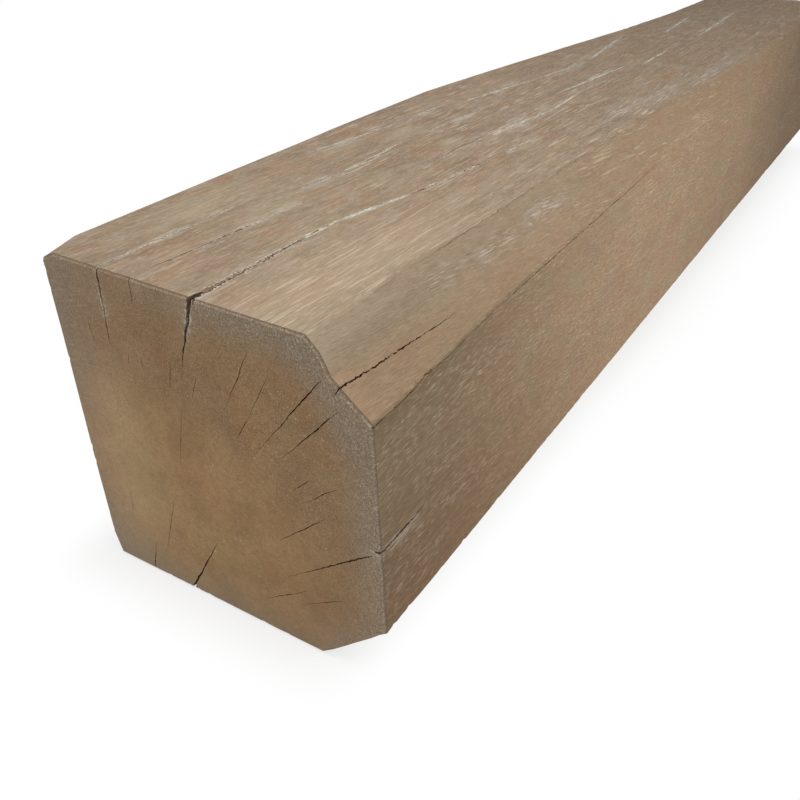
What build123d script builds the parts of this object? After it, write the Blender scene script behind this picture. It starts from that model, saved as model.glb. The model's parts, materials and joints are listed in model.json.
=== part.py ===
from build123d import *
from math import hypot
import os

os.makedirs("parts", exist_ok=True)

# Reclaimed oak beam: one squared timber, hewn on four sides, in millimetres.
# It lies along Y on its flat underside, with the near sawn end at -Y.
beam_width = 175.0
beam_height = 175.0
beam_length = 900.0

# The top is in winding: at the near end it falls toward the front,
# and toward the far end the back falls and the front falls less.
top_fall_front = 4.4
top_fall_far = 8.0
top_rise_far = 2.2
# The front side leans in a little toward the top at the near end.
side_lean = 2.2

# Front wane: the rounded edge of the log, widest at the near end, gone before the far end.
front_wane_width = 28.6
front_wane_height = 29.5
# Back wane: the same on the other top edge, gone at the near end, widest at the far end.
back_wane_width = 48.0
back_wane_height = 46.0
back_wane_bulge = 5.0
# Bevel along the whole front bottom edge, and the small break along the back bottom edge.
base_bevel_width = 36.0
base_bevel_height = 32.7
back_break_width = 3.0
back_break_height = 13.0
# Chip off the back top corner at the near end, and the worn rim of both sawn ends.
corner_chip_width = 8.5
corner_chip_height = 4.0
rim_wear = 1.2

# Drying checks that open on a face near the near end. Places are from the back or the underside.
# Each runs to a root in the section, drifts sideways, and closes at the end of its length.
crown_check_place = 88.5
crown_check_depth = 42.0
crown_check_lean = 13.0
crown_check_width = 2.6
crown_check_drift = 18.5
crown_check_length = 205.0
left_check_place = 35.4
left_check_depth = 42.0
left_check_lean = 2.5
left_check_width = 1.4
left_check_drift = 2.0
left_check_length = 104.0
foot_check_place = 54.0
foot_check_depth = 45.0
foot_check_lean = 26.5
foot_check_width = 1.4
foot_check_drift = 4.0
foot_check_length = 120.0
side_check_height = 79.0
side_check_depth = 52.0
side_check_fall = 37.5
side_check_width = 1.2
side_check_length = 30.0
wane_check_depth = 9.0
wane_check_width = 1.2
wane_check_drift = 2.0
wane_check_length = 75.0

# Stations along the beam as shares of its length, and what is left of each uneven edge there.
along = (0.0, 0.022, 0.105, 0.24, 0.365, 0.48, 0.71, 0.855, 1.0)
front_width_share = (1.0, 0.96, 0.9, 0.75, 0.6, 0.45, 0.22, 0.05, 0.03)
front_height_share = (1.0, 1.0, 0.81, 0.665, 0.49, 0.385, 0.135, 0.04, 0.03)
back_share = (0.0, 0.0, 0.0, 0.0, 0.01, 0.225, 0.7, 0.92, 1.0)
chip_share = (1.0, 0.15, 0.14, 0.13, 0.12, 0.1, 0.0, 0.0, 0.0)
fall_share = (0.0, 0.0, 0.01, 0.04, 0.12, 0.25, 0.6, 0.82, 1.0)

back = -beam_width / 2
front = beam_width / 2
near = -beam_length / 2
mid = beam_height / 2

# The rim of each sawn end is drawn in a little, and the full section starts just behind it.
wear = rim_wear / beam_length
stops = [(0.0, 0, rim_wear)] + [(max(s, wear), k, 0.0) for k, s in enumerate(along[:-1])]
stops += [(1.0 - wear, len(along) - 1, 0.0), (1.0, len(along) - 1, rim_wear)]


with BuildPart() as oak_beam:
    # The timber, ruled from one station's outline to the next.
    for share, k, worn in stops:
        top_back = beam_height - fall_share[k] * top_fall_far
        tilt = top_fall_front * (1 - fall_share[k]) - top_rise_far * fall_share[k]
        top_front = top_back - tilt
        edge = front - side_lean * front_height_share[k]
        wane_w = front_wane_width * front_width_share[k]
        wane_h = front_wane_height * front_height_share[k]
        back_w = back_wane_width * back_share[k] + corner_chip_width * chip_share[k]
        back_h = back_wane_height * back_share[k] + corner_chip_height * chip_share[k]
        bulge = back_wane_bulge * back_share[k]
        shrink = (beam_width - 2 * worn) / beam_width
        outline = [
            (back + back_break_width, 0),
            (front - base_bevel_width, 0),
            (front, base_bevel_height),
            (edge, top_front - wane_h),
            (edge - 0.35 * wane_w, top_front - 0.73 * wane_h),
            (edge - 0.63 * wane_w, top_front - 0.48 * wane_h),
            (edge - 0.79 * wane_w, top_front - 0.17 * wane_h),
            (edge - wane_w, top_front + tilt * wane_w / beam_width),
            (back + back_w, top_back - tilt * back_w / beam_width),
            (back + 0.42 * back_w, top_back - 0.58 * back_h + bulge),
            (back, top_back - back_h),
            (back, back_break_height),
        ]
        with BuildSketch(Plane.XZ.offset(-(near + share * beam_length))):
            with BuildLine():
                Polyline(*[(x * shrink, mid + (z - mid) * shrink) for x, z in outline], close=True)
            make_face()
    loft(ruled=True)

    # Each check is given by its mouth and its root in the near end, the drift of its far tip,
    # its length along the timber and its width. First the main one in the top and its neighbour.
    crown = (back + crown_check_place, beam_height - top_fall_front * crown_check_place / beam_width)
    crown_root = (crown[0] - crown_check_lean, crown[1] - crown_check_depth)
    second = (back + left_check_place, beam_height - top_fall_front * left_check_place / beam_width)
    second_root = (second[0] - left_check_lean, second[1] - left_check_depth)
    # Then the one that rises from the underside, the one from the front side, and the short wane check.
    foot = (back + foot_check_place, 0)
    foot_root = (foot[0] + foot_check_lean, foot_check_depth)
    side = (front, side_check_height)
    side_root = (side[0] - side_check_depth, side[1] - side_check_fall)
    wane_z = beam_height - top_fall_front - 0.6 * front_wane_height
    wane = (front - side_lean - 0.42 * front_wane_width, wane_z)
    wane_root = (wane[0] - 0.75 * wane_check_depth, wane[1] - 0.66 * wane_check_depth)
    for mouth, root, drift, run, width in (
        (crown, crown_root, (crown_check_drift, -0.6), crown_check_length, crown_check_width),
        (second, second_root, (left_check_drift, -0.3), left_check_length, left_check_width),
        (foot, foot_root, (foot_check_drift, 0), foot_check_length, foot_check_width),
        (side, side_root, (0, 0), side_check_length, side_check_width),
        (wane, wane_root, (wane_check_drift, 1), wane_check_length, wane_check_width),
    ):
        depth = hypot(root[0] - mouth[0], root[1] - mouth[1])
        ux, uz = (root[0] - mouth[0]) / depth, (root[1] - mouth[1]) / depth
        # A thin triangle just outside the near end, and a nearly closed one at the far tip.
        for y, open_share, x, z in (
            (near - 1, 1.0, mouth[0], mouth[1]),
            (near + run, 0.1, mouth[0] + drift[0], mouth[1] + drift[1]),
        ):
            half = width * open_share / 2
            with BuildSketch(Plane.XZ.offset(-y)):
                with BuildLine():
                    Polyline(
                        (x - 2 * ux - half * uz, z - 2 * uz + half * ux),
                        (x - 2 * ux + half * uz, z - 2 * uz - half * ux),
                        (x + depth * open_share * ux, z + depth * open_share * uz),
                        close=True,
                    )
                make_face()
        loft(ruled=True, mode=Mode.SUBTRACT)

oak_beam.part.label = "oak_beam"
export_step(oak_beam.part, "parts/oak_beam.step")
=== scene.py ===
import bmesh
import bpy
import json
from math import exp, radians
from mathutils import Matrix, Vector, geometry, noise
from mathutils.bvhtree import BVHTree

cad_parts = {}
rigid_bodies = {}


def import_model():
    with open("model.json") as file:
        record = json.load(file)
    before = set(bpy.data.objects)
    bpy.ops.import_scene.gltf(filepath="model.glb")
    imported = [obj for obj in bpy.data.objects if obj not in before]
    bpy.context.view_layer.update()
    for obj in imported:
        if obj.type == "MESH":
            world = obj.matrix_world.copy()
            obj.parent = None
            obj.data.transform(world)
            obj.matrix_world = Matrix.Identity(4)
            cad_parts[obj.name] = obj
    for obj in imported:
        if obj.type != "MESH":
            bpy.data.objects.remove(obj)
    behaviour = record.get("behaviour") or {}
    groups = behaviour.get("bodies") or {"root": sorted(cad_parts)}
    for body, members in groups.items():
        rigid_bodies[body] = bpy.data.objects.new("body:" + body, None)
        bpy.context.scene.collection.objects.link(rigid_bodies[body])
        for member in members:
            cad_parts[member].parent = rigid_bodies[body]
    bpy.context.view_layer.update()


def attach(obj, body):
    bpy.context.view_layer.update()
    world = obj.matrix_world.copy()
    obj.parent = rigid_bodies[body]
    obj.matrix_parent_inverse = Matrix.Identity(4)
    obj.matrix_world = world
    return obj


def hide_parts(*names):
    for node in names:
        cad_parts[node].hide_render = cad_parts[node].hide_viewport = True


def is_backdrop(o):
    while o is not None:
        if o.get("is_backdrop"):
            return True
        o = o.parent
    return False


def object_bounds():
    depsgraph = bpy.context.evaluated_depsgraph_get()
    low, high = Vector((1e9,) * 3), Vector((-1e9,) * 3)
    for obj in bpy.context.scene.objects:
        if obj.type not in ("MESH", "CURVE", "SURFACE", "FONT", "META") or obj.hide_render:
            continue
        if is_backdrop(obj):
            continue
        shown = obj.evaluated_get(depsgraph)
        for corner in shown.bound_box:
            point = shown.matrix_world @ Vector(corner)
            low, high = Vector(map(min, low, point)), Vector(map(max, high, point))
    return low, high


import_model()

# OAK BEAM
# One baulk of reclaimed oak, squared by hewing so that the log's round edge still shows as wane,
# sawn across at both ends and long dried, so that checks have opened from the heart outward.
# It is one piece with nothing fixed to it, and it lies on its flat underside.

# Sizes in millimetres, the same as the solid's. The near end is at -Y and the front side at +X.
beam_width, beam_height, beam_length = 175.0, 175.0, 900.0
back_x, front_x, near_y = -beam_width / 2, beam_width / 2, -beam_length / 2
top_fall_front, top_fall_far, top_rise_far, side_lean = 4.4, 8.0, 2.2, 2.2
front_wane_width, front_wane_height = 28.6, 29.5
back_wane_width, back_wane_height, back_wane_bulge = 48.0, 46.0, 5.0
base_bevel_width, base_bevel_height = 36.0, 32.7
back_break_width, back_break_height = 3.0, 13.0
corner_chip_width, corner_chip_height = 8.5, 4.0
rim_wear = 1.2

# At each station: its share of the length, then how much is left there of the front wane's width
# and height, of the back wane, of the corner chip, and of the top's fall.
stations = (
    (0.0, 1.0, 1.0, 0.0, 1.0, 0.0),
    (0.022, 0.96, 1.0, 0.0, 0.15, 0.0),
    (0.105, 0.9, 0.81, 0.0, 0.14, 0.01),
    (0.24, 0.75, 0.665, 0.0, 0.13, 0.04),
    (0.365, 0.6, 0.49, 0.01, 0.12, 0.12),
    (0.48, 0.45, 0.385, 0.225, 0.1, 0.25),
    (0.71, 0.22, 0.135, 0.7, 0.0, 0.6),
    (0.855, 0.05, 0.04, 0.92, 0.0, 0.82),
    (1.0, 0.03, 0.03, 1.0, 0.0, 1.0),
)


def hewn_outline(station, worn):
    share, wide, high, back, chip, fallen = station
    top_back = beam_height - fallen * top_fall_far
    tilt = top_fall_front * (1 - fallen) - top_rise_far * fallen
    top_front = top_back - tilt
    edge = front_x - side_lean * high
    wane_w, wane_h = front_wane_width * wide, front_wane_height * high
    back_w = back_wane_width * back + corner_chip_width * chip
    back_h = back_wane_height * back + corner_chip_height * chip
    corners = (
        (back_x + back_break_width, 0),
        (front_x - base_bevel_width, 0),
        (front_x, base_bevel_height),
        (edge, top_front - wane_h),
        (edge - 0.35 * wane_w, top_front - 0.73 * wane_h),
        (edge - 0.63 * wane_w, top_front - 0.48 * wane_h),
        (edge - 0.79 * wane_w, top_front - 0.17 * wane_h),
        (edge - wane_w, top_front + tilt * wane_w / beam_width),
        (back_x + back_w, top_back - tilt * back_w / beam_width),
        (back_x + 0.42 * back_w, top_back - 0.58 * back_h + back_wane_bulge * back),
        (back_x, top_back - back_h),
        (back_x, back_break_height),
    )
    shrink, middle = 1 - 2 * worn / beam_width, beam_height / 2
    return [(x * shrink, middle + (z - middle) * shrink) for x, z in corners]


def by_corners(face):
    """A number that sorts faces by their corners."""
    corners = [v.index for v in face.verts]
    return 1e6 * min(corners) + max(corners)


def draw_along(mesh, outlines):
    """Draws a closed outline along from place to place, and returns where the corners came."""
    ring = [mesh.verts.new(p) for p in outlines[0]]
    edges = [mesh.edges.new((ring[i - 1], ring[i])) for i in range(len(ring))]
    corners = [[tuple(v.co) for v in ring]]
    for outline in outlines[1:]:
        order = {tuple(v.co): i for i, v in enumerate(ring)}
        drawn = bmesh.ops.extrude_edge_only(mesh, edges=edges)["geom"]
        fresh = [v for v in drawn if isinstance(v, bmesh.types.BMVert)]
        ring = sorted(fresh, key=lambda v: order[tuple(v.co)])
        edges = [mesh.edges.get((ring[i - 1], ring[i])) for i in range(len(ring))]
        for v, p in zip(ring, outline):
            v.co = p
        corners.append([tuple(v.co) for v in ring])
    # The operator makes its faces in another order on each run, so they are put in one order.
    mesh.verts.index_update()
    mesh.faces.sort(key=by_corners)
    settled = bpy.data.meshes.new("settled")
    settled.from_pydata([v.co for v in mesh.verts], [], [[v.index for v in f.verts] for f in mesh.faces])
    mesh.clear()
    mesh.from_mesh(settled)
    bpy.data.meshes.remove(settled)
    return corners


rim_share = rim_wear / beam_length
stops = [(0.0, stations[0], rim_wear), (rim_share, stations[0], 0.0)]
stops += [(s[0], s, 0.0) for s in stations[1:-1]]
stops += [(1 - rim_share, stations[-1], 0.0), (1.0, stations[-1], rim_wear)]
timber = bmesh.new()
outlines = [
    [(x, near_y + share * beam_length, z) for x, z in hewn_outline(station, worn)]
    for share, station, worn in stops
]
rings = draw_along(timber, outlines)

# Each face of the timber is divided across, finer where it is seen near to.
cuts_across = (12, 7, 54, 6, 5, 6, 5, 76, 7, 7, 18, 3)
for i, cuts in enumerate(cuts_across):
    at = {tuple(v.co): v for v in timber.verts}
    strip = [timber.edges.get((at[ring[i]], at[ring[(i + 1) % len(ring)]])) for ring in rings]
    bmesh.ops.subdivide_edges(timber, edges=strip, cuts=cuts)

# The sawn ends are closed and divided into a fine grid, and then the timber is divided along.
for y, step in ((near_y, 1.8), (near_y + beam_length, 6.0)):
    rim = [e for e in timber.edges if all(abs(v.co.y - y) < 0.01 for v in e.verts)]
    around = [v for v in timber.verts if abs(v.co.y - y) < 0.01]
    cut = bmesh.ops.edgeloop_fill(timber, edges=rim)["faces"] + rim + around
    for axis, low, high in (((1, 0, 0), back_x, front_x), ((0, 0, 1), 0.0, beam_height)):
        place = low + step
        while place < high - 1:
            at = Vector(axis) * place + Vector((0, y, 0))
            cut = bmesh.ops.bisect_plane(timber, geom=cut, dist=0.001, plane_co=at, plane_no=axis)["geom"]
            place += step
for low, high in zip(stops[1:-2], stops[2:-1]):
    y0, y1 = near_y + low[0] * beam_length, near_y + high[0] * beam_length
    step = 2.2 if y1 < near_y + 230 else 3.8 if y1 < near_y + 440 else 6.5
    run = [
        e
        for e in timber.edges
        if abs(min(v.co.y for v in e.verts) - y0) < 0.01 and abs(max(v.co.y for v in e.verts) - y1) < 0.01
    ]
    bmesh.ops.subdivide_edges(timber, edges=run, cuts=max(1, int((y1 - y0) / step)))
bmesh.ops.recalc_face_normals(timber, faces=timber.faces)

# Handling has rounded the arrises a little everywhere, and more in places.
for turn in range(3):
    timber.normal_update()
    turned = [e for e in timber.edges if e.is_manifold and e.calc_face_angle() > radians(9)]
    arris = list(dict.fromkeys(v for e in turned for v in e.verts))
    if turn:
        arris = [v for v in arris if noise.noise(v.co * 0.03 + Vector((turn * 9.0, 0, 0))) > 0.2]
    bmesh.ops.smooth_vert(
        timber, verts=arris, factor=0.13, use_axis_x=True, use_axis_y=True, use_axis_z=True
    )

# The long faces are hewn and weathered: long shallow waves, raised grain along the timber, and
# crumbled spots on the arrises. The relief only ever goes inward from the solid's faces.
timber.normal_update()
arris = {v for e in timber.edges if e.is_manifold and e.calc_face_angle() > radians(9) for v in e.verts}
for v in timber.verts:
    wave = noise.noise(Vector((v.co.x * 0.018, v.co.y * 0.011, v.co.z * 0.018 + 3.1)))
    hewn = noise.noise(Vector((v.co.x * 0.05, v.co.y * 0.02, v.co.z * 0.05 + 8.3)))
    grain = noise.noise(Vector((v.co.x * 0.3, v.co.y * 0.012, v.co.z * 0.3 + 1.7)))
    crumb = noise.noise(v.co * 0.22)
    lengthwise = 1 - min(1, abs(v.normal.y) * 1.5)
    sunk = max(0.0, 0.14 + 0.22 * wave) + max(0.0, 0.08 + 0.16 * hewn) * (0.4 + 0.6 * lengthwise)
    sunk += max(0.0, 0.05 + 0.16 * grain) * lengthwise
    sunk += max(0.0, 1.2 * crumb - 0.3) if v in arris else 0.0
    v.co -= v.normal * sunk

# Every check is cut out by a blade that is then taken away, and its lining stays on the walls.
blades = bpy.data.collections.new("blades")
check_lining = bpy.data.materials.new("dusty_check_wall")
lime_putty = bpy.data.materials.new("old_lime_putty")


def store_blade(name, outlines, lining):
    blade = bmesh.new()
    draw_along(blade, outlines)
    for last in (outlines[0], outlines[-1]):
        y = last[0][1]
        rim = [e for e in blade.edges if e.is_boundary and all(abs(v.co.y - y) < 0.01 for v in e.verts)]
        bmesh.ops.edgeloop_fill(blade, edges=rim)
    bmesh.ops.recalc_face_normals(blade, faces=blade.faces)
    bmesh.ops.scale(blade, vec=(0.001, 0.001, 0.001), verts=blade.verts)
    mesh = bpy.data.meshes.new(name)
    blade.to_mesh(mesh)
    blade.free()
    mesh.materials.append(lining)
    blades.objects.link(bpy.data.objects.new(name, mesh))


# In a sawn end a blade is a jagged sheet from its root to its mouth. Each check's mouth, root,
# width, taper, share of the way out where it is widest (1 where it opens on a long face), run and
# drift.
corner = Vector((back_x, near_y, 0.0))
near_end_checks = (
    ("crown", (90.3, 177.5), (75.6, 132.5), 3.0, 1.3, 1.0, 9, 0.3),
    ("left", (36.4, 177.5), (33.6, 131.0), 2.1, 0.75, 1.0, 1.6, 0.0),
    ("foot", (53.8, -3.0), (81.0, 44.4), 1.3, 0.9, 1.0, 60, 2.0),
    ("side", (170.0, 77.0), (122.0, 41.0), 0.75, 0.8, 0.85, 22, 0.4),
    ("second", (55.6, 177.5), (54.4, 160.5), 0.9, 0.6, 1.0, 2.4, 0.1),
    ("foot_second", (27.0, -3.0), (34.4, 22.5), 0.8, 0.9, 1.0, 25, 0.5),
    ("upper_right", (150.6, 154.4), (108.8, 102.0), 0.6, 1.1, 0.85, 35, 0.4),
    ("right", (157.8, 143.0), (124.4, 107.0), 0.5, 0.9, 0.7, 28, 0.4),
    ("middle_right", (115.6, 156.5), (97.5, 122.0), 0.42, 0.9, 0.7, 20, 0.3),
    ("short_right", (124.4, 148.0), (110.5, 123.0), 0.3, 0.8, 0.6, 12, 0.2),
    ("inner_right", (111.2, 124.2), (102.8, 110.8), 0.4, 0.8, 0.5, 14, 0.2),
    ("low_right_a", (154.4, 105.0), (136.8, 90.4), 0.4, 0.8, 0.6, 18, 0.2),
    ("low_right_b", (141.2, 104.2), (129.8, 93.6), 0.4, 0.8, 0.6, 14, 0.2),
    ("low_right_c", (146.9, 86.0), (117.3, 59.8), 0.45, 0.8, 0.6, 20, 0.2),
    ("base_right_a", (153.8, 42.5), (128.6, 26.8), 0.35, 0.8, 0.6, 14, 0.2),
    ("base_right_b", (132.5, 37.0), (105.4, 18.6), 0.4, 0.8, 0.4, 16, 0.2),
    ("left_inner", (22.3, 145.8), (23.9, 133.5), 0.35, 0.8, 0.6, 10, 0.2),
    ("hair_a", (45.0, 135.8), (43.9, 129.6), 0.35, 0.8, 0.5, 8, 0.1),
    ("hair_b", (52.4, 136.2), (52.9, 128.6), 0.35, 0.8, 0.5, 8, 0.1),
    ("hair_c", (70.6, 138.2), (67.4, 124.6), 0.4, 0.8, 0.5, 10, 0.1),
    ("hair_d", (85.0, 136.2), (79.8, 122.8), 0.3, 0.8, 0.5, 8, 0.1),
    ("hair_e", (55.4, 60.0), (41.6, 20.0), 0.35, 0.8, 0.5, 10, 0.1),
    ("hair_f", (72.0, 116.0), (64.2, 82.0), 0.3, 0.8, 0.5, 10, 0.1),
    ("hair_g", (23.2, 51.0), (21.2, 35.0), 0.3, 0.8, 0.5, 8, 0.1),
)
# The photograph doesn't show the far end, so a few checks from the same heart are guessed there.
far_end_checks = (
    ("far_crown", (112.0, 176.0), (88.0, 116.0), 1.0, 1.0, 1.0, 30, 0.5),
    ("far_back", (62.0, 174.0), (53.0, 118.0), 0.6, 0.8, 1.0, 20, 0.3),
    ("far_wane", (150.0, 121.0), (112.0, 79.0), 0.6, 0.9, 0.8, 24, 0.3),
    ("far_front", (158.0, 66.0), (116.0, 39.0), 0.5, 0.8, 0.7, 20, 0.3),
    ("far_foot", (72.0, -3.0), (82.0, 31.0), 0.6, 0.9, 1.0, 20, 0.4),
    ("far_hair_a", (128.0, 142.0), (112.0, 116.0), 0.35, 0.8, 0.6, 12, 0.2),
    ("far_hair_b", (92.0, 86.0), (76.0, 58.0), 0.35, 0.8, 0.5, 12, 0.2),
    ("far_hair_c", (24.0, 116.0), (26.0, 92.0), 0.35, 0.8, 0.6, 10, 0.2),
)
end_checks = [(row, False) for row in near_end_checks] + [(row, True) for row in far_end_checks]
for seed, (row, at_far_end) in enumerate(end_checks):
    name, mouth, root, width, taper, widest, run, drift = row
    mouth, root = Vector(mouth), Vector(root)
    reach = (mouth - root).length
    sideways = Vector(((mouth - root).y, -(mouth - root).x)) / reach
    steps, slices = max(8, int(reach / 1.1)), max(5, int(run / 5))
    outlines = []
    for k in range(slices + 1):
        t = k / slices
        y = -1.0 + t * (run + 1)
        left, right = [], []
        for i in range(steps + 1):
            s = i / steps
            if widest == 1:
                s = 0.75 * t * t + (1 - 0.75 * t * t) * s
            else:
                s = 0.5 + (s - 0.5) * (1 - 0.8 * t * t)
            out = s * reach
            if s < widest:
                opened = (s / widest) ** taper
            else:
                opened = ((1 - s) / (1 - widest)) ** 0.6 if widest < 1 else 1.0
            ragged = 0.7 * noise.noise(Vector((out * 0.3, y * 0.15, seed * 7.0 + 5)))
            ragged += 0.6 * noise.noise(Vector((out * 0.9, y * 0.3, seed * 7.0 + 6)))
            opened *= width * (1 - t) ** 0.9 * (1 + ragged)
            jag = 0.75 * noise.noise(Vector((out * 0.11, y * 0.03, seed * 7.0)))
            jag += 0.35 * noise.noise(Vector((out * 0.42, y * 0.12, seed * 7.0 + 3)))
            jag += 0.3 * noise.noise(Vector((out * 1.1, y * 0.2, seed * 7.0 + 4)))
            middle = root + (mouth - root) * s + sideways * (jag * min(1.0, width + 0.2) + drift * t)
            half = sideways * max(0.02, opened / 2)
            along = beam_length - y if at_far_end else y
            left.append(corner + Vector((middle.x - half.x, along, middle.y - half.y)))
            right.append(corner + Vector((middle.x + half.x, along, middle.y + half.y)))
        outlines.append(left + right[::-1])
    store_blade(name, outlines, check_lining)

# Each one's start, end, width, depth and lining; it keeps to the worn surface below or beside it.
surface = BVHTree.FromBMesh(timber)
down, up, inward = Vector((0, 0, -1)), Vector((0, 0, 1)), Vector((-0.55, 0, -0.835))
into_side, into_back = Vector((-1, 0, 0)), Vector((1, 0, 0))
splits = (
    ("crown_split", (89.4, -1, 190), (90.6, 92, 190), down, 3.5, 0.45, check_lining),
    ("crown_core", (89.8, -1, 190), (90.4, 80, 190), down, 0.9, 2.4, check_lining),
    ("crown_filled", (89.4, 68, 190), (91.0, 100, 190), down, 2.0, 0.35, lime_putty),
    ("crown_bright", (90.6, 96, 190), (101.2, 146, 190), down, 2.9, 0.35, lime_putty),
    ("crown_tail", (100.6, 140, 190), (111.2, 219, 190), down, 0.5, 0.6, check_lining),
    ("crown_lime", (101.4, 150, 190), (111.4, 218, 190), down, 1.2, 0.25, lime_putty),
    ("left_tail", (35.6, 3, 190), (38.6, 97, 190), down, 1.0, 0.3, lime_putty),
    ("second_tail", (55.0, 8, 190), (61.0, 84, 190), down, 0.4, 1.0, check_lining),
    ("second_lime", (57.6, 40, 190), (63.2, 112, 190), down, 1.1, 0.25, lime_putty),
    ("wane_check", (182.8, -1, 190), (190.2, 77, 190), inward, 0.62, 3.5, check_lining),
    ("upper_arris", (147.0, 78, 190), (151.4, 262, 190), down, 0.24, 0.6, check_lining),
    ("line_a", (17.0, 170, 190), (28.8, 254, 190), down, 1.4, 0.3, lime_putty),
    ("line_b", (29.6, 256, 190), (29.1, 304, 190), down, 1.5, 0.25, lime_putty),
    ("line_c", (36.4, 314, 190), (50.5, 402, 190), down, 2.0, 0.3, lime_putty),
    ("line_d", (49.6, 121, 190), (51.6, 148, 190), down, 1.2, 0.3, lime_putty),
    ("line_e", (51.8, 150, 190), (54.2, 180, 190), down, 1.2, 0.3, lime_putty),
    ("line_f", (54.0, 184, 190), (50.4, 216, 190), down, 1.3, 0.25, lime_putty),
    ("line_g", (84.0, 188, 190), (86.4, 262, 190), down, 0.4, 0.8, check_lining),
    ("line_h", (87.2, 258, 190), (97.6, 328, 190), down, 1.7, 0.3, lime_putty),
    ("line_i", (98.0, 324, 190), (94.2, 384, 190), down, 2.0, 0.25, lime_putty),
    ("line_j", (82.2, 370, 190), (93.6, 490, 190), down, 2.3, 0.25, lime_putty),
    ("seam_j", (83.6, 366, 190), (95.6, 500, 190), down, 0.35, 0.6, check_lining),
    ("line_k", (51.4, 408, 190), (61.6, 484, 190), down, 2.2, 0.25, lime_putty),
    ("line_l", (53.0, 240, 190), (57.8, 322, 190), down, 1.2, 0.25, lime_putty),
    ("line_m", (60.0, 488, 190), (45.4, 612, 190), down, 2.6, 0.25, lime_putty),
    ("line_n", (111.6, 232, 190), (114.0, 270, 190), down, 1.0, 0.25, lime_putty),
    ("line_o", (102.4, 492, 190), (101.8, 566, 190), down, 2.0, 0.25, lime_putty),
    ("line_p", (106.6, 636, 190), (100.4, 794, 190), down, 3.0, 0.25, lime_putty),
    ("line_q", (74.0, 644, 190), (67.4, 744, 190), down, 2.6, 0.25, lime_putty),
    ("far_split", (112.4, 901, 190), (110.0, 846, 190), down, 0.9, 2.0, check_lining),
    ("back_split", (-30, 150, 97), (-30, 342, 91), into_back, 0.7, 1.4, check_lining),
    ("back_hairline", (-30, 508, 52), (-30, 706, 60), into_back, 0.5, 1.0, check_lining),
    ("foot_split", (53.4, -1, -20), (57.0, 120, -20), up, 1.2, 1.4, check_lining),
    ("under_split", (96.0, 380, -20), (101.0, 600, -20), up, 0.6, 1.0, check_lining),
    ("side_check", (200, -1, 79.4), (200, 34, 80.8), into_side, 1.3, 3.0, check_lining),
    ("lower_arris", (200, -1, 139.8), (200, 100, 145.6), into_side, 0.45, 0.8, check_lining),
    ("lower_arris_far", (200, 94, 145.3), (200, 330, 150.0), into_side, 0.4, 0.8, check_lining),
)
for seed, (name, start, stop, toward, width, depth, lining) in enumerate(splits):
    start, stop = corner + Vector(start), corner + Vector(stop)
    sideways = Vector((0, 1, 0)).cross(toward)
    steps = max(8, int((stop - start).length / (0.8 if start.y < near_y else 1.3)))
    outlines = []
    for k in range(steps + 1):
        t = k / steps
        place = start + (stop - start) * t
        wander = 0.7 * noise.noise(Vector((place.y * 0.05, seed * 5.0, 0)))
        wander += 0.3 * noise.noise(Vector((place.y * 0.3, seed * 5.0, 4)))
        wander += 0.7 * noise.noise(Vector((place.y * 0.9, seed * 5.0, 6)))
        place += sideways * wander
        within = min(max(place.y, near_y + 2.0), -near_y - 2.0)
        met = surface.ray_cast(Vector((place.x, within, place.z)), toward)[0]
        met.y = place.y
        opened = (1 - t) ** 0.5 if abs(start.y) > -near_y else min(1, 7 * t) * min(1, 4 * (1 - t)) ** 0.8
        ragged = noise.noise(Vector((place.y * 0.14, seed * 5.0, 9)))
        ragged += noise.noise(Vector((place.y * 0.6, seed * 5.0, 2)))
        ragged += 0.8 * noise.noise(Vector((place.y * 1.4, seed * 5.0, 7)))
        torn = 0.9 if lining == lime_putty else 1.35
        wide = sideways * (0.02 + 0.5 * width * opened * max(0.1, 1 + torn * ragged))
        above, below = met - toward, met + toward * depth * (0.5 + 0.5 * opened)
        outlines.append((above - wide * 1.2, below - wide * 0.6, below + wide * 0.6, above + wide * 1.2))
    store_blade(name, outlines, lining)

oak_mesh = bpy.data.meshes.new("oak_timber")
bmesh.ops.scale(timber, vec=(0.001, 0.001, 0.001), verts=timber.verts)
timber.to_mesh(oak_mesh)
timber.free()
oak_timber = bpy.data.objects.new("oak_timber", oak_mesh)
bpy.context.scene.collection.objects.link(oak_timber)
long_grain = bpy.data.materials.new("hewn_weathered_long_grain")
end_grain = bpy.data.materials.new("sawn_end_grain")
oak_mesh.materials.append(long_grain)
oak_mesh.materials.append(end_grain)
for polygon in oak_mesh.polygons:
    at_end = abs(abs(polygon.center.y) - 0.45) < 0.0015
    polygon.material_index = 1 if at_end and abs(polygon.normal.y) > 0.5 else 0
checks = oak_timber.modifiers.new("checks", "BOOLEAN")
checks.operation, checks.solver, checks.material_mode = "DIFFERENCE", "MANIFOLD", "TRANSFER"
checks.operand_type, checks.collection = "COLLECTION", blades
bpy.context.scene.collection.children.link(blades)
cut_mesh = bpy.data.meshes.new_from_object(oak_timber.evaluated_get(bpy.context.evaluated_depsgraph_get()))
cut_mesh.name = "oak_timber"
oak_timber.modifiers.clear()
oak_timber.data = cut_mesh
for blade in list(blades.objects):
    bpy.data.objects.remove(blade)
bpy.data.collections.remove(blades)
cut_mesh.polygons.foreach_set("use_smooth", [True] * len(cut_mesh.polygons))
cut_mesh.set_sharp_from_angle(angle=radians(27))
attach(oak_timber, "root")
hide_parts("oak_beam")

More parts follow.
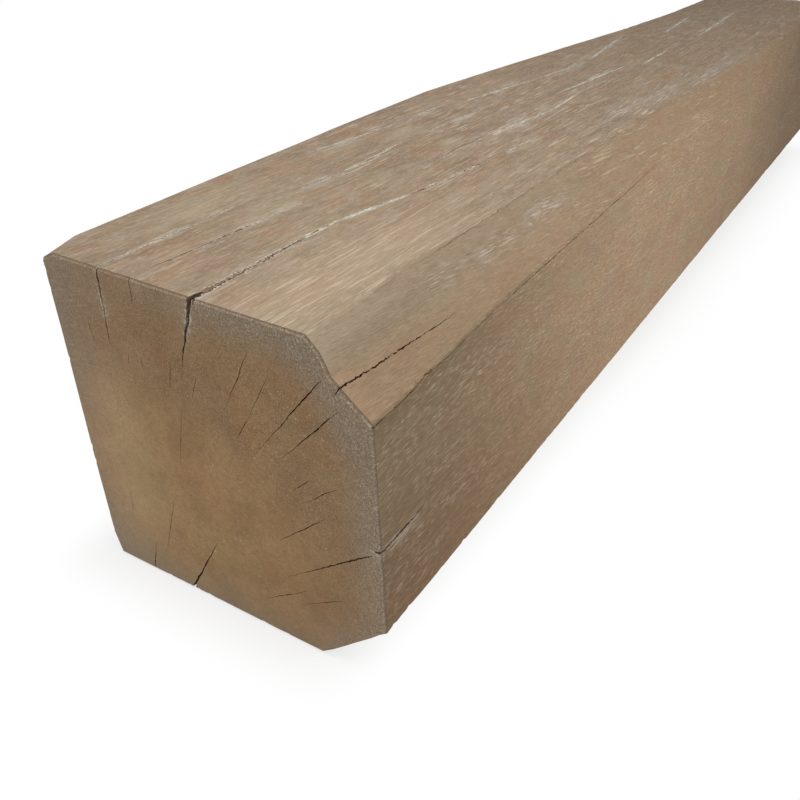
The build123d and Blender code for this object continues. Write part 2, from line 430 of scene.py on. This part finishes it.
# What age has left on the surface is painted at the vertices: lime dust rubbed into open grain,
# bleached spots, and dust on the walls of the checks. Each patch's centre, reach and strength, in
# millimetres from the near end's lower back corner.
limed_patches = (
    ((36, 50, 174), (2.2, 60, 6), 0.8),
    ((59, 56, 174), (2.4, 60, 6), 0.7),
    ((91, 34, 173), (3, 45, 5), 0.8),
    ((51, 135, 174), (3, 18, 6), 0.9),
    ((54, 172, 174), (3.6, 22, 6), 1.0),
    ((24, 214, 174), (3, 50, 6), 0.8),
    ((30, 280, 174), (5, 30, 6), 0.7),
    ((44, 358, 173), (6, 50, 6), 0.8),
    ((86, 230, 172), (4, 44, 6), 0.8),
    ((93, 300, 172), (7, 46, 6), 1.0),
    ((88, 420, 172), (6, 60, 6), 1.0),
    ((54, 545, 171), (6, 60, 6), 0.8),
    ((103, 715, 169), (6, 80, 6), 0.9),
    ((70, 695, 169), (6, 50, 6), 0.8),
    ((136, 352, 171), (7, 30, 6), 1.0),
    ((147, 398, 170), (6, 34, 8), 0.9),
    ((158, 505, 169), (5, 60, 8), 0.8),
    ((55, 280, 173), (5, 44, 6), 0.8),
    ((113, 250, 172), (5, 20, 6), 0.7),
    ((59, 456, 172), (6, 44, 6), 0.8),
    ((106, 180, 172), (2.4, 50, 6), 0.5),
    ((154, 84, 163), (3, 18, 5), 0.5),
    ((157, 130, 160), (3.4, 18, 5), 0.75),
    ((158, 180, 162), (4, 22, 5), 0.75),
    ((35, 0, 158), (2.4, 9, 9), 1.0),
    ((86, 0, 162), (3.4, 9, 8), 0.9),
    ((90, 0, 173), (4, 9, 3), 0.9),
    ((172, 0, 77.5), (5, 4, 2.4), 1.0),
    ((175, 12, 78.5), (4, 18, 3), 0.8),
)
bleached_patches = (
    ((57, 92, 174), (8, 24, 6), 0.8),
    ((24, 78, 174), (12, 34, 6), 0.7),
    ((42, 232, 174), (8, 16, 6), 0.9),
    ((75, 233, 173), (5, 9, 6), 1.0),
    ((30, 190, 174), (7, 26, 6), 0.6),
)
dusty_patches = (
    ((90, 40, 172.8), (6, 52, 1.4), 1.0),
    ((86, 0, 160), (5, 4, 8), 1.0),
    ((35, 0, 157), (4, 4, 7), 0.9),
    ((174, 5, 79), (6, 9, 5), 0.3),
    ((35, 50, 175), (4, 70, 6), 0.8),
    ((55, 4, 172), (3, 10, 6), 0.2),
)


def nearness(place, patches):
    """How strong the nearest patch is at a place."""
    return max(
        strength * exp(-sum(((place[i] - centre[i]) / reach[i]) ** 2 for i in range(3)))
        for centre, reach, strength in patches
    )


# Greying, scuffs, darkening, painted shade and flecks follow from where a point is: on an end, the top, a
# wane or the side. The outline of the near end tells how far a point there is from the rim.
near_outline = [corner + Vector((x - back_x, 0, z)) for x, z in hewn_outline(stations[0], rim_wear)]
beside = {lining: set() for lining in (check_lining, lime_putty)}
for polygon in cut_mesh.polygons:
    if cut_mesh.materials[polygon.material_index] in beside:
        beside[cut_mesh.materials[polygon.material_index]].update(polygon.vertices)
names = ("limed", "bleached", "dusted", "greyed", "darkened_and_painted_shade", "scuffed", "lined", "flecked", "dashed")
names += ("streaked", "warm", "rusty", "mossy", "fuzzy", "pored", "top", "wane", "rim_painted_shade", "sandy")
names += ("beaded",)
painted = {name: [0.0] * len(cut_mesh.vertices) for name in names}
on_arris = set()
for i, v in enumerate(cut_mesh.vertices):
    place = v.co * 1000 - corner
    distant = min(1.0, max(0.0, (place.y - 120) / 160))
    remote = min(1.0, max(0.0, (place.y - 330) / 150))
    painted["limed"][i] = nearness(place, limed_patches) * (1 - 0.25 * distant)
    painted["bleached"][i] = nearness(place, bleached_patches)
    if i in beside[lime_putty]:
        painted["dusted"][i] = 0.35
        painted["sandy"][i] = 1.0 if place.y < 115 and place.x < 80 else 0.0
        painted["beaded"][i] = 0.3 if 92 < place.y < 148 and place.x > 80 else 1.0
        painted["mossy"][i] = 1.0 - painted["beaded"][i]
    elif i in beside[check_lining]:
        painted["dusted"][i] = nearness(place, dusty_patches)
    if place.y < 1.8:
        flat = Vector((v.co.x * 1000, near_y, v.co.z * 1000))
        rim = min(
            (flat - geometry.intersect_point_line(flat, a, b)[0]).length
            for a, b in zip(near_outline, near_outline[1:] + near_outline[:1])
        )
        upper_left = exp(-((place.x / 30) ** 2) - ((beam_height - place.z) / 70) ** 2)
        right = min(1.0, max(0.0, (place.x + 0.5 * place.z - 130) / 60))
        foot = exp(-((place.z / 20) ** 2))
        low_right = exp(-(((place.x - 148) / 45) ** 2) - ((place.z - 28) / 45) ** 2)
        grey = (0.3 + 0.7 * right) * exp(-((rim / 12) ** 2)) + 0.8 * upper_left + 0.35 * foot
        grey += 0.8 * exp(-((place.x / 25) ** 2) - (place.z / 35) ** 2)
        painted["greyed"][i] = min(1.0, grey * (1 - 0.4 * low_right))
        # The end is darker towards its lower right corner.
        painted["darkened_and_painted_shade"][i] = low_right
        painted["bleached"][i] = exp(-(((place.x - 24) / 24) ** 2) - ((place.z - 72) / 60) ** 4)
        painted["fuzzy"][i] = (0.15 + 0.85 * right) * exp(-((rim / 11) ** 2)) + 0.15 * upper_left
        scuffed = exp(-((place.x / 24) ** 2))
        scuffed += 0.6 * exp(-(((place.x - 45) / 20) ** 2) - ((place.z - 155) / 12) ** 2)
        painted["scuffed"][i] = scuffed * min(1.0, max(0.15, (place.z - 90) / 50))
        if place.y < 0.6:
            continue
        # The worn rim round the end is painted darker: painted shade against the light that its slope
        # catches.
        painted["rim_painted_shade"][i] = 1.0
    later = next(s for s in stations[1:] if s[0] >= min(1.0, place.y / beam_length))
    before = stations[stations.index(later) - 1]
    between = max(0.0, (place.y / beam_length - before[0]) / (later[0] - before[0]))
    wane_wide = front_wane_width * (before[1] + (later[1] - before[1]) * between)
    wane_high = front_wane_height * (before[2] + (later[2] - before[2]) * between)
    wane_start = beam_width - side_lean - wane_wide
    arris_z = beam_height - wane_high - top_fall_front
    if abs(place.z - arris_z) < 1.0 and place.x > 168 and place.y < 450:
        on_arris.add(i)
    clustered = 0.55 + 1.4 * noise.noise(Vector((place.x * 0.07, place.y * 0.02, place.z * 0.07)))
    clustered = min(1.0, max(0.15, clustered))
    band_x = 136 + 0.118 * (place.y - 335)
    band = exp(-(((place.x - band_x) / 9) ** 2)) * exp(-(((place.y - 470) / 150) ** 4))
    painted["streaked"][i] = 0.25
    painted["pored"][i] = 1.0
    if place.x <= wane_start and place.z > 150:
        front = exp(-(((place.x - 126) / 26) ** 2) - (max(0.0, place.y - 60) / 110) ** 2)
        painted["top"][i] = 1.0
        painted["streaked"][i] = 0.45 + 0.45 * distant - 0.4 * remote
        painted["pored"][i] = 0.35
        painted["rusty"][i] = 0.5 * exp(-(((place.x - 106) / 14) ** 2) - ((place.y - 190) / 60) ** 2)
        painted["warm"][i] = front
        painted["greyed"][i] = 0.9 * band
        painted["lined"][i] = 0.3 + 0.7 * front
        painted["flecked"][i] = clustered * 0.5
        painted["dashed"][i] = (0.3 + 0.7 * clustered) * (0.34 + 0.86 * distant - 0.4 * remote)
        painted["dashed"][i] += 0.5 * painted["limed"][i]
    elif place.x > wane_start and place.z > arris_z:
        high = min(1.0, max(0.0, (place.z - 150) / 14))
        # Painted shade: the front wane is painted darker than the top, which gets more light; it fades out
        # at the near end, at the upper edge near the end and towards the far end.
        painted["wane"][i] = min(1.0, place.y / 14) * exp(-((place.y / 500) ** 2))
        painted["wane"][i] *= 1 - 0.4 * high * exp(-((place.y / 60) ** 2))
        painted["greyed"][i] = max(0.8 * high * exp(-((place.y / 260) ** 2)), 0.9 * band)
        painted["lined"][i] = 0.05
        painted["warm"][i] = 0.75 * high * exp(-((place.y / 60) ** 2))
        painted["pored"][i] = 0.6
        painted["flecked"][i] = 0.35 + 0.1 * clustered * distant
        painted["streaked"][i] = 0.15
        painted["dashed"][i] = (0.15 + 0.45 * clustered) * distant
    elif place.x > beam_width - 6:
        # On the side the colour is darker towards the near end, partly weathering and partly painted shade;
        # a painted shadow line runs just under the arris, and painted shade darkens the side towards the
        # far end.
        foot = exp(-((place.y / 150) ** 2)) * (1.0 - 0.35 * exp(-(((place.z - 115) / 30) ** 2)))
        arris_painted_shade = 0.8 * exp(-((max(0.0, arris_z - place.z) / 3.5) ** 2)) * exp(-((place.y / 170) ** 4))
        far_painted_shade = 0.25 * min(1.0, max(0.0, (place.y - 580) / 150))
        painted["darkened_and_painted_shade"][i] = min(1.0, max(foot, arris_painted_shade, far_painted_shade))
        painted["rusty"][i] = exp(-((place.z / 75) ** 2) - (max(0.0, place.y - 60) / 190) ** 2)
        painted["mossy"][i] = exp(-(((place.z - 125) / 40) ** 2) - (place.y / 60) ** 2)
        painted["lined"][i] = 0.05
        painted["flecked"][i] = (0.45 + 0.55 * clustered) * min(1.0, 0.45 + place.z / 120)
        painted["dashed"][i] = 0.36 * distant * exp(-(((place.y - 360) / 130) ** 2))
        painted["dashed"][i] = 0.06 + painted["dashed"][i] * (place.z / 150) ** 2
    else:
        painted["lined"][i] = 0.3
        painted["streaked"][i] = 0.7
        painted["flecked"][i] = 0.5 * clustered
        painted["dashed"][i] = 0.3 * clustered
# The arris between the front wane and the side was left crisp by the hewing, so its shading is too.
for edge in cut_mesh.edges:
    if on_arris.issuperset(edge.vertices):
        edge.use_edge_sharp = True
for name, values in painted.items():
    cut_mesh.attributes.new(name, "FLOAT", "POINT").data.foreach_set("value", values)


def linear(code):
    """An sRGB colour as linear values."""
    parts = [int(code[i : i + 2], 16) / 255 for i in (1, 3, 5)]
    return [c / 12.92 if c <= 0.04045 else ((c + 0.055) / 1.055) ** 2.4 for c in parts] + [1.0]


def add(tree, kind, inputs=None, **settings):
    """Adds a node with its settings, and links or sets its inputs."""
    made = tree.nodes.new(kind)
    for name, value in settings.items():
        setattr(made, name, value)
    for socket, value in (inputs or {}).items():
        if isinstance(value, bpy.types.NodeSocket):
            tree.links.new(value, made.inputs[socket])
        else:
            made.inputs[socket].default_value = value
    return made


# Each kind of surface is one recipe. A layer is noise stretched to a real size in millimetres,
# counted only from one value up to another; a tone turns the colour where its layer and mask are
# strong; the relief is what each layer raises or sinks, in millimetres.
recipes = (
    # Hewn and brushed faces along the grain: beige and brown streaks, short dark pores, and pores
    # packed with pale lime dust, dull because the surface was never coated. Real pores are about
    # 0.3 mm wide, and these are drawn a little coarser, so that they show.
    (
        long_grain,
        "#947A5F",
        (
            ("blotch", "grain", (36, 80, 36), 3, 0.42, 0.6),
            ("olive", "grain", (17, 28, 17), 3, 0.5, 0.62),
            ("ruddy", "grain", (15, 30, 15), 3, 0.5, 0.62),
            ("ashen", "grain", (9, 20, 9), 3, 0.48, 0.64),
            ("band", "rings", (3.8, 0.5, 300), 3, 0.45, 0.62),
            ("streak", "grain", (3.4, 60, 3.4), 3, 0.5, 0.65),
            ("dark_streak", "grain", (4.4, 80, 4.4), 3, 0.5, 0.65),
            ("line", "grain", (1.0, 26, 1.0), 2, 0.58, 0.64),
            ("dark_line", "grain", (0.7, 30, 0.7), 2, 0.6, 0.67),
            ("fibre", "grain", (0.8, 20, 0.8), 2, 0.4, 0.7),
            ("pore", "grain", (0.4, 5, 0.4), 1, 0.59, 0.69),
            ("fleck", "grain", (0.42, 5, 0.42), 1, 0.57, 0.67),
            ("dash", "grain", (1.4, 24, 1.4), 2, 0.61, 0.655),
            ("dark_dash", "grain", (1.4, 24, 1.4), 2, 0.6, 0.66),
            ("cloud", "grain", (8, 18, 8), 3, 0.46, 0.58),
            ("lime", "grain", (0.65, 15, 0.65), 2, 0.61, 0.67),
            ("near_lime", "grain", (0.5, 13, 0.5), 2, 0.56, 0.62),
            ("grit", "grain", (0.9, 4, 0.9), 2, 0.57, 0.64),
            ("smudge", "grain", (4, 9, 4), 3, 0.48, 0.58),
            ("crumbs", "grain", (1.1, 1.6, 1.1), 2, 0.42, 0.56),
            ("furrow", "grain", (1.5, 16, 1.5), 2, 0.5, 0.62),
            ("mottle", "grain", (5, 9, 5), 2, 0.35, 0.65),
        ),
        (
            ("top", None, 0.55, "#9A8570"),
            ("blotch", None, 0.45, "#846F5A"),
            ("olive", None, 0.5, "#8D8160"),
            ("cloud", "top", 0.6, "#7A6955"),
            ("smudge", "top", 0.32, "#877766"),
            ("ruddy", None, 0.4, "#926E50"),
            ("ashen", "top", 0.4, "#9B8D7D"),
            ("warm", None, 0.55, "#B29D84"),
            # Painted shade: the front wane darker than the top.
            ("wane", None, 0.5, "#836E57"),
            ("greyed", None, 0.5, "#8B8171"),
            ("band", "streaked", 0.2, "#A59079"),
            ("dark_streak", "streaked", 0.4, "#7A6653"),
            ("streak", "streaked", 0.35, "#AA9780"),
            ("bleached", None, 0.55, "#AA9F83"),
            # Painted shade on the side: a shadow line under the arris and darkening towards the far end;
            # towards the near end this darkening is partly weathering and partly painted shade.
            ("darkened_and_painted_shade", None, 0.9, "#5E4B33"),
            ("rusty", None, 0.48, "#7F5B3B"),
            ("mossy", None, 0.4, "#70664B"),
            ("ashen", "limed", 0.7, "#9A9388"),
            ("line", "lined", 0.7, "#C6B49C"),
            ("dark_line", "lined", 0.35, "#6D5945"),
            ("fibre", None, 0.09, "#705B47"),
            # Dark furrows where the side is painted darker, partly weathering and partly painted shade.
            ("furrow", "darkened_and_painted_shade", 0.35, "#645139"),
            # Darker smudges on the front wane follow its painted shade.
            ("smudge", "wane", 0.35, "#7D6953"),
            ("pore", "pored", 0.4, "#5A4735"),
            ("grit", "top", 0.38, "#B8A892"),
            ("fleck", "flecked", 0.5, "#BBA98F"),
            ("dash", "dashed", 0.75, "#C8B59F"),
            ("dark_dash", "dashed", 0.4, "#6B5544"),
            ("lime", "flecked", 0.3, "#C2B6A2"),
            ("near_lime", "limed", 0.75, "#DAD6CD"),
            ("crumbs", "dusted", 0.9, "#CFCBC2"),
        ),
        (
            ("fibre", -0.015),
            ("pore", -0.06),
            ("line", 0.03),
            ("dark_line", -0.06),
            ("grit", 0.03),
            ("lime", -0.04),
            ("near_lime", 0.04),
        ),
        (0.8, 0.92),
    ),
    # The sawn ends: brown, fine-pored end grain with faint rings and rays, greyer and fuzzy at the
    # rims, with pale scuffs from the saw and a few pores packed with lime.
    (
        end_grain,
        "#B08D63",
        (
            ("blotch", "grain", (30, 60, 30), 3, 0.4, 0.6),
            ("deep", "grain", (20, 60, 20), 3, 0.46, 0.64),
            ("ruddy", "grain", (24, 60, 24), 3, 0.5, 0.66),
            ("olive", "grain", (26, 60, 26), 3, 0.5, 0.66),
            ("band", "rings", (2.6, 0.9, 60), 3, 0.45, 0.66),
            ("ray", "rings", (50, 0.03, 60), 2, 0.56, 0.68),
            ("fibre", "hairs", (0.6, 26, 0.9), 2, 0.46, 0.62),
            ("fuzz", "hairs", (0.45, 26, 1.0), 2, 0.54, 0.64),
            ("pore", "grain", (0.5, 8, 0.5), 1, 0.57, 0.69),
            ("speck", "grain", (0.7, 14, 0.7), 1, 0.62, 0.73),
            ("cluster", "grain", (14, 60, 14), 2, 0.5, 0.62),
            ("lime", "grain", (1.2, 14, 1.2), 1, 0.68, 0.76),
            ("scratch", "scratches", (9, 30, 0.55), 3, 0.6, 0.68),
            ("near_lime", "grain", (1.0, 22, 1.3), 2, 0.5, 0.6),
            ("crumbs", "grain", (1.0, 20, 1.0), 2, 0.4, 0.54),
            ("mottle", "grain", (2.4, 9, 2.4), 3, 0.42, 0.64),
        ),
        (
            ("outer", None, 0.6, "#94785A"),
            ("blotch", None, 0.4, "#BC976B"),
            ("deep", None, 0.45, "#8F6F4D"),
            ("ruddy", None, 0.35, "#A87A52"),
            ("olive", None, 0.35, "#A08A5E"),
            ("mottle", None, 0.28, "#8C6D4F"),
            ("band", None, 0.12, "#BD9D76"),
            ("bleached", None, 0.4, "#D4B68E"),
            ("darkened_and_painted_shade", None, 0.3, "#7E6349"),
            ("greyed", None, 0.65, "#A09180"),
            ("ray", None, 0.1, "#7E6144"),
            ("fibre", "fuzzy", 0.5, "#685949"),
            ("fuzz", "fuzzy", 0.6, "#C9C0AF"),
            ("pore", None, 0.25, "#6F563C"),
            ("pore", "outer", 0.45, "#6F563C"),
            ("speck", None, 0.3, "#C3AE8C"),
            ("speck", "outer", 0.6, "#C3AE8C"),
            ("scratch", "scuffed", 0.55, "#C0B49F"),
            ("lime", "cluster", 0.5, "#DCCFB7"),
            ("near_lime", "limed", 0.75, "#CFCABE"),
            # Painted shade on the worn rim of the end, which its slope would otherwise show lighter.
            ("rim_painted_shade", None, 0.9, "#62574A"),
            ("crumbs", "dusted", 0.95, "#D0CBC0"),
        ),
        (
            ("fibre", 0.06),
            ("fuzz", 0.06),
            ("pore", -0.1),
            ("mottle", 0.1),
            ("scratch", 0.05),
            ("near_lime", 0.06),
        ),
        (0.82, 0.93),
    ),
    # The walls of a check, torn open by drying, dark inside and grey with old dust at the mouth.
    (
        check_lining,
        "#7A5236",
        (
            ("mottle", "grain", (2, 6, 2), 3, 0.4, 0.7),
            ("dust", "grain", (1.2, 4, 1.2), 3, 0.56, 0.68),
            ("crumbs", "grain", (1.1, 2, 1.1), 3, 0.46, 0.58),
        ),
        (
            ("mottle", None, 0.6, "#4A3020"),
            ("dust", None, 0.4, "#85786A"),
            ("dusted", None, 0.8, "#8C7C68"),
            ("crumbs", "dusted", 0.75, "#C4B9A6"),
        ),
        (("mottle", 0.15), ("crumbs", 0.15)),
        (0.9, 0.95),
    ),
    # Old lime packed into a split: chalky, pale and a little green, broken by specks of the wood.
    (
        lime_putty,
        "#CDCAB9",
        (
            ("mottle", "grain", (2.2, 9, 2.2), 3, 0.4, 0.6),
            ("dust", "grain", (1.1, 8, 1.1), 3, 0.53, 0.61),
            ("gap", "grain", (3.2, 8, 3.2), 3, 0.52, 0.57),
            ("crumbs", "grain", (1.6, 3, 1.6), 2, 0.56, 0.62),
        ),
        (
            ("mottle", None, 0.5, "#A3A898"),
            ("mossy", None, 0.8, "#AEB3A3"),
            ("sandy", None, 0.65, "#C6B9AB"),
            ("dust", None, 0.7, "#8F7D68"),
            ("crumbs", None, 0.7, "#DDD5C5"),
            ("gap", "beaded", 0.75, "#97826A"),
        ),
        (("mottle", 0.1), ("dust", -0.1)),
        (0.9, 0.95),
    ),
)
for material, ground, layers, tones, relief, dullness in recipes:
    material.use_nodes = True
    tree = material.node_tree
    tree.nodes.clear()
    # The grain leans across the timber, more at the back than at the front, and wanders.
    spot = add(tree, "ShaderNodeTexCoord").outputs["Object"]
    wander = add(tree, "ShaderNodeTexNoise", {"Vector": spot, "Scale": 9.0, "Detail": 1.0}).outputs["Color"]
    middle = {0: wander, 1: (0.5, 0.5, 0.5)}
    wander = add(tree, "ShaderNodeVectorMath", middle, operation="SUBTRACT").outputs[0]
    reach = {0: wander, 1: (0.0035, 0.0, 0.0035)}
    wander = add(tree, "ShaderNodeVectorMath", reach, operation="MULTIPLY").outputs[0]
    parts = add(tree, "ShaderNodeSeparateXYZ", {0: spot})
    along = add(tree, "ShaderNodeMath", {0: parts.outputs[1], 1: 0.45}, operation="ADD").outputs[0]
    across = {0: parts.outputs[0], 1: 0.3, 2: -0.055}
    lean = add(tree, "ShaderNodeMath", across, operation="MULTIPLY_ADD").outputs[0]
    lean = add(tree, "ShaderNodeMath", {0: lean, 1: along}, operation="MULTIPLY").outputs[0]
    bend = add(tree, "ShaderNodeMath", {0: along, 1: -0.7, 2: 1.0}, operation="MULTIPLY_ADD").outputs[0]
    lean = add(tree, "ShaderNodeMath", {0: lean, 1: bend}, operation="MULTIPLY").outputs[0]
    # On the front wane it runs down and outward, and on the front side up at first and then down.
    facing = add(tree, "ShaderNodeNewGeometry").outputs["True Normal"]
    facing = add(tree, "ShaderNodeSeparateXYZ", {0: facing}).outputs[0]
    front = add(tree, "ShaderNodeMath", {0: facing, 1: 0.2}, operation="GREATER_THAN").outputs[0]
    side = add(tree, "ShaderNodeMath", {0: facing, 1: 0.94}, operation="GREATER_THAN").outputs[0]
    wane = add(tree, "ShaderNodeMath", {0: front, 1: side}, operation="SUBTRACT").outputs[0]
    back = add(tree, "ShaderNodeMath", {0: 1.0, 1: front}, operation="SUBTRACT").outputs[0]
    lean = add(tree, "ShaderNodeMath", {0: lean, 1: back}, operation="MULTIPLY").outputs[0]
    fall = add(tree, "ShaderNodeMath", {0: along, 1: 0.07}, operation="MULTIPLY").outputs[0]
    fall = add(tree, "ShaderNodeMath", {0: fall, 1: wane}, operation="MULTIPLY").outputs[0]
    lean = add(tree, "ShaderNodeMath", {0: lean, 1: fall}, operation="SUBTRACT").outputs[0]
    turning = add(tree, "ShaderNodeMath", {0: along, 1: 0.07}, operation="SUBTRACT").outputs[0]
    turning = add(tree, "ShaderNodeMath", {0: turning}, operation="ABSOLUTE").outputs[0]
    turning = add(tree, "ShaderNodeMath", {0: turning, 1: 0.055}, operation="MULTIPLY").outputs[0]
    rising = {0: along, 1: 0.03, 2: turning}
    turning = add(tree, "ShaderNodeMath", rising, operation="MULTIPLY_ADD").outputs[0]
    climb = add(tree, "ShaderNodeMath", {0: turning, 1: side, 2: fall}, operation="MULTIPLY_ADD").outputs[0]
    slope = add(tree, "ShaderNodeCombineXYZ", {0: lean, 2: climb}).outputs[0]
    wood = add(tree, "ShaderNodeVectorMath", {0: spot, 1: wander}, operation="ADD").outputs[0]
    wood = add(tree, "ShaderNodeVectorMath", {0: wood, 1: slope}, operation="ADD").outputs[0]
    # Rings and rays go round the heart, which lies below the back of the beam.
    from_heart = {0: wood, 1: (0.0555, 0.0, 0.015)}
    heart = add(tree, "ShaderNodeVectorMath", from_heart, operation="ADD").outputs[0]
    parts = add(tree, "ShaderNodeSeparateXYZ", {0: heart})
    flat = add(tree, "ShaderNodeCombineXYZ", {0: parts.outputs[0], 1: parts.outputs[2]}).outputs[0]
    radius = add(tree, "ShaderNodeVectorMath", {0: flat}, operation="LENGTH").outputs["Value"]
    round_heart = {0: parts.outputs[2], 1: parts.outputs[0]}
    turn = add(tree, "ShaderNodeMath", round_heart, operation="ARCTAN2").outputs[0]
    turn = add(tree, "ShaderNodeMath", {0: turn, 1: 0.001}, operation="MULTIPLY").outputs[0]
    rings_at = add(tree, "ShaderNodeCombineXYZ", {0: radius, 1: turn, 2: parts.outputs[1]}).outputs[0]
    scratches = add(tree, "ShaderNodeMapping", {"Vector": spot, "Rotation": (0, radians(13), 0)}).outputs[0]
    hairs = add(tree, "ShaderNodeMapping", {"Vector": spot, "Rotation": (0, radians(35), 0)}).outputs[0]
    places = {"grain": wood, "rings": rings_at, "scratches": scratches, "hairs": hairs}
    used = dict.fromkeys(name for tone in tones for name in tone[:2] if name in painted)
    value = {name: add(tree, "ShaderNodeAttribute", attribute_name=name).outputs["Fac"] for name in used}
    value["outer"] = add(tree, "ShaderNodeMapRange", {0: radius, 1: 0.12, 2: 0.146}).outputs[0]
    for seed, (name, where, size, detail, start, full) in enumerate(layers):
        scale = [1000 / s for s in size]
        stretch = {"Vector": places[where], "Location": (seed * 3.7,) * 3, "Scale": scale}
        spread = add(tree, "ShaderNodeMapping", stretch).outputs[0]
        made = add(tree, "ShaderNodeTexNoise", {"Vector": spread, "Scale": 1.0, "Detail": detail})
        value[name] = add(tree, "ShaderNodeMapRange", {0: made.outputs[0], 1: start, 2: full}).outputs[0]
    colour = linear(ground)
    for name, mask, amount, tone in tones:
        masked = {0: value[name], 1: value[mask] if mask else 1.0}
        part = add(tree, "ShaderNodeMath", masked, operation="MULTIPLY").outputs[0]
        part = add(tree, "ShaderNodeMath", {0: part, 1: amount}, operation="MULTIPLY").outputs[0]
        mixed = {0: part, 6: colour, 7: linear(tone)}
        colour = add(tree, "ShaderNodeMix", mixed, data_type="RGBA").outputs[2]
    height = 0.0
    for name, rise in relief:
        raised = {0: value[name], 1: rise, 2: height}
        height = add(tree, "ShaderNodeMath", raised, operation="MULTIPLY_ADD").outputs[0]
    bump = add(tree, "ShaderNodeBump", {"Height": height, "Strength": 1.0, "Distance": 0.001}).outputs[0]
    dull = add(tree, "ShaderNodeMapRange", {0: value["mottle"], 3: dullness[0], 4: dullness[1]}).outputs[0]
    shade = add(tree, "ShaderNodeBsdfPrincipled", {"Base Color": colour, "Roughness": dull, "Normal": bump})
    shade.inputs["Specular IOR Level"].default_value = 0.25
    add(tree, "ShaderNodeOutputMaterial", {"Surface": shade.outputs[0]})

# FLOOR
# The plain white studio floor that the beam lies on. It isn't part of the object. Away from the
# beam it gives way to the white studio, and only the soft shadow by the beam is left on it.


def sees_background(tree):
    """1 for the rays that show the background: to the camera, off a gloss, or through glass."""
    rays = add(tree, "ShaderNodeLightPath")
    seen = rays.outputs["Is Camera Ray"]
    for kind in ("Is Glossy Ray", "Is Transmission Ray"):
        seen = add(tree, "ShaderNodeMath", {0: seen, 1: rays.outputs[kind]}, operation="MAXIMUM").outputs[0]
    return seen


floor_mesh = bpy.data.meshes.new("floor")
sweep = bmesh.new()
bmesh.ops.create_grid(sweep, x_segments=1, y_segments=1, size=3.0)
bmesh.ops.translate(sweep, vec=(0, 0, -0.0003), verts=sweep.verts)
sweep.to_mesh(floor_mesh)
sweep.free()
floor = bpy.data.objects.new("floor", floor_mesh)
bpy.context.scene.collection.objects.link(floor)
floor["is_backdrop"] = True
paper = bpy.data.materials.new("matt_white_paper")
paper.use_nodes = True
tree = paper.node_tree
tree.nodes.clear()
matt = add(tree, "ShaderNodeBsdfDiffuse", {"Color": (0.9, 0.9, 0.9, 1)}).outputs[0]
white = add(tree, "ShaderNodeEmission", {"Color": (1, 1, 1, 1), "Strength": 1.0}).outputs[0]
spot = add(tree, "ShaderNodeTexCoord").outputs["Object"]
length = add(tree, "ShaderNodeSeparateXYZ", {0: spot}).outputs[1]
spot = add(tree, "ShaderNodeVectorMath", {0: spot, 1: (0.0205, 0.0, 0.0)}, operation="ADD").outputs[0]
spot = add(tree, "ShaderNodeVectorMath", {0: spot}, operation="ABSOLUTE").outputs[0]
spot = add(tree, "ShaderNodeVectorMath", {0: spot, 1: (0.067, 0.45, 0.0)}, operation="SUBTRACT").outputs[0]
spot = add(tree, "ShaderNodeVectorMath", {0: spot, 1: (0.0, 0.0, 0.0)}, operation="MAXIMUM").outputs[0]
away = add(tree, "ShaderNodeVectorMath", {0: spot}, operation="LENGTH").outputs["Value"]
# The shadow is wider beside the far part of the beam than round the near end.
narrow = add(tree, "ShaderNodeMapRange", {0: length, 1: -0.45, 2: -0.05, 3: 1.4, 4: 0.62}).outputs[0]
away = add(tree, "ShaderNodeMath", {0: away, 1: narrow}, operation="MULTIPLY").outputs[0]
fade = {0: away, 2: 0.052, 3: 0.72, 4: 1.0}
away = add(tree, "ShaderNodeMapRange", fade, interpolation_type="SMOOTHSTEP").outputs[0]
gone = add(tree, "ShaderNodeMath", {0: away, 1: sees_background(tree)}, operation="MULTIPLY").outputs[0]
both = add(tree, "ShaderNodeMixShader", {0: gone, 1: matt, 2: white}).outputs[0]
add(tree, "ShaderNodeOutputMaterial", {"Surface": both})
floor_mesh.materials.append(paper)

# LIGHT
# Two large soft boxes over and to the right of the beam, and the white studio round it. They are
# kept at a plain level, at which the oak renders about as its colours are written.
for name, place, aim, size, power in (
    ("overhead_softbox", (0.1, -0.52, 1.05), (0.0, -0.42, 0.1), 0.7, 8.0),
    ("right_softbox", (0.6, -0.13, 0.24), (0.0, -0.1, 0.1), 0.35, 1.75),
):
    lamp = bpy.data.lights.new(name, "AREA")
    lamp.shape, lamp.size, lamp.energy = "SQUARE", size, power
    box = bpy.data.objects.new(name, lamp)
    box.location = place
    box.rotation_euler = (Vector(aim) - Vector(place)).to_track_quat("-Z", "Y").to_euler()
    bpy.context.scene.collection.objects.link(box)
studio = bpy.data.worlds.new("studio")
bpy.context.scene.world = studio
studio.use_nodes = True
tree = studio.node_tree
tree.nodes.clear()
strength = add(tree, "ShaderNodeMapRange", {0: sees_background(tree), 3: 0.3, 4: 1.0}).outputs[0]
air = add(tree, "ShaderNodeBackground", {"Color": (1, 1, 1, 1), "Strength": strength}).outputs[0]
add(tree, "ShaderNodeOutputWorld", {"Surface": air})
bpy.context.scene.view_settings.view_transform = "Standard"

# CAMERA
# Above the near end on the front side, looking down along the beam, as the photograph does. Its
# place and its lens were fitted to the arrises of the beam.
lens = bpy.data.cameras.new("camera")
lens.sensor_width, lens.lens = 36.0, 38.5
lens.clip_start, lens.clip_end = 0.01, 50.0
camera = bpy.data.objects.new("camera", lens)
camera.location = (0.2327, -0.6599, 0.3171)
camera.rotation_euler = (radians(57.285), radians(1.222), radians(32.013))
bpy.context.scene.collection.objects.link(camera)
bpy.context.scene.camera = camera

low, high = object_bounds()
